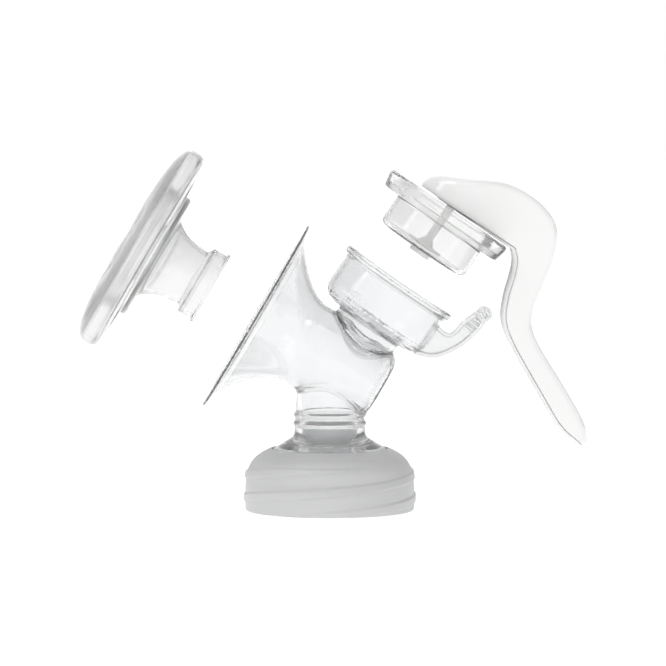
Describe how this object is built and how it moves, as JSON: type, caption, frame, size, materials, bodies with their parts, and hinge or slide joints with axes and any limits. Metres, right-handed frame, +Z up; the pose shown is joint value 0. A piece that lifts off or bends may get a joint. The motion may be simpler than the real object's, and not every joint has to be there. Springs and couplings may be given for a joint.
{
  "type": "manual breast pump",
  "caption": "Hand-squeezed breast pump, laid out in line before assembly: clear pump body on its bottle ring, soft massage cushion, diaphragm and lever handle.",
  "frame": {"origin": "centre of the screw ring's lower face, where it meets the bottle", "axes": "+Z up along the neck and the bottle; +X towards the handle, away from the funnel; +Y across the pump"},
  "size_m": [0.1876, 0.0812, 0.1328],
  "materials": {
    "clear_plastic": "clear, polished",
    "frosted_plastic": "translucent, fine satin frosting",
    "valve_silicone": "soft, satin",
    "cushion_silicone": "clear, soft, partly velvet-textured",
    "diaphragm_silicone": "clear, soft, polished",
    "stem_plastic": "white, gloss",
    "handle_plastic": "white, high gloss"
  },
  "bodies": {
    "body": {"funnel": "clear_plastic", "barrel": "clear_plastic", "suction_cup": "clear_plastic", "neck": "clear_plastic", "pivot_arm": "clear_plastic", "duckbill_valve": "valve_silicone"},
    "ring": {"screw_ring": "frosted_plastic"},
    "cushion": {"massage_cushion": "cushion_silicone", "cushion_sleeve": "cushion_silicone", "cushion_lip": "cushion_silicone"},
    "diaphragm": {"diaphragm_ring": "diaphragm_silicone", "diaphragm_membrane": "diaphragm_silicone"},
    "plunger": {"stem": "stem_plastic"},
    "handle": {"handle_shell": "handle_plastic", "handle_frame": "handle_plastic"}
  },
  "joints": [
    {"name": "ring_turn", "type": "hinge", "parent": "body", "child": "ring", "pos_m": [0, 0, 0], "axis": [0, 0, 1], "continuous": true},
    {"name": "cushion_seat", "type": "slide", "parent": "body", "child": "cushion", "axis": [0.8616, 0, -0.5075], "range_m": [0, 0.0475], "deforming": ["cushion_lip"]},
    {"name": "diaphragm_seat", "type": "slide", "parent": "body", "child": "diaphragm", "axis": [-0.5664, 0, -0.8241], "range_m": [0, 0.028]},
    {"name": "handle_squeeze", "type": "hinge", "parent": "diaphragm", "child": "handle", "pos_m": [0.07289, 0, 0.09584], "axis": [0, 1, 0], "range_deg": [0, 18], "stiffness_Nm_per_rad": 0.6, "springref_deg": -2.86},
    {"name": "stem_lift", "type": "slide", "parent": "diaphragm", "child": "plunger", "axis": [0.5664, 0, 0.8241], "range_m": [0, 0.0104], "deforming": ["diaphragm_membrane"]}
  ],
  "couplings": [
    {"joint": "stem_lift", "follows": "handle_squeeze", "m_per_rad": 0.0325}
  ]
}
